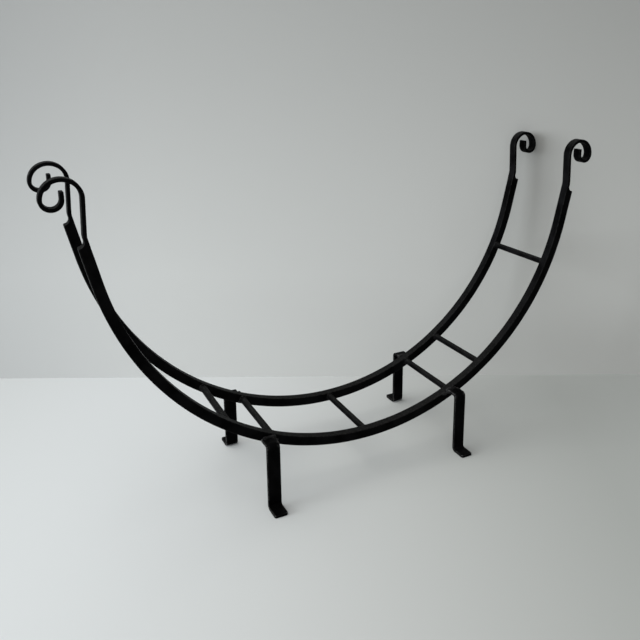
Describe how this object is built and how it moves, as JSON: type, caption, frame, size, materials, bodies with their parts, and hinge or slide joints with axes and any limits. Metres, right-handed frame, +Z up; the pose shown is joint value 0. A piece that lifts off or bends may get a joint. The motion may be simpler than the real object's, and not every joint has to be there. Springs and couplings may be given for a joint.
{
  "type": "log holder",
  "caption": "Curved cradle for firewood: two scrolled square-bar rails joined by round rungs, on bent strap legs.",
  "frame": {"origin": "on the floor, under the middle of the holder", "axes": "+X along the rails, from the left scroll to the right one as the picture shows them; +Y from the front rail to the rear rail; +Z up"},
  "size_m": [0.8448, 0.238, 0.4871],
  "materials": {
    "rails": "satin black paint on bent square bar",
    "rungs": "satin black paint on round bar",
    "legs": "matt black paint on flat strap",
    "welds": "matt black paint over rippled weld bead"
  },
  "bodies": {
    "root": {"front_rail": "rails", "rear_rail": "rails", "rung_1": "rungs", "rung_2": "rungs", "rung_3": "rungs", "rung_4": "rungs", "rung_5": "rungs", "rung_6": "rungs", "rung_7": "rungs", "rung_1_front_weld": "welds", "rung_1_rear_weld": "welds", "rung_2_front_weld": "welds", "rung_2_rear_weld": "welds", "rung_3_front_weld": "welds", "rung_3_rear_weld": "welds", "rung_4_front_weld": "welds", "rung_4_rear_weld": "welds", "rung_5_front_weld": "welds", "rung_5_rear_weld": "welds", "rung_6_front_weld": "welds", "rung_6_rear_weld": "welds", "rung_7_front_weld": "welds", "rung_7_rear_weld": "welds", "front_left_leg": "legs", "front_right_leg": "legs", "rear_left_leg": "legs", "rear_right_leg": "legs", "front_left_leg_weld": "welds", "front_right_leg_weld": "welds", "rear_left_leg_weld": "welds", "rear_right_leg_weld": "welds"}
  },
  "joints": []
}
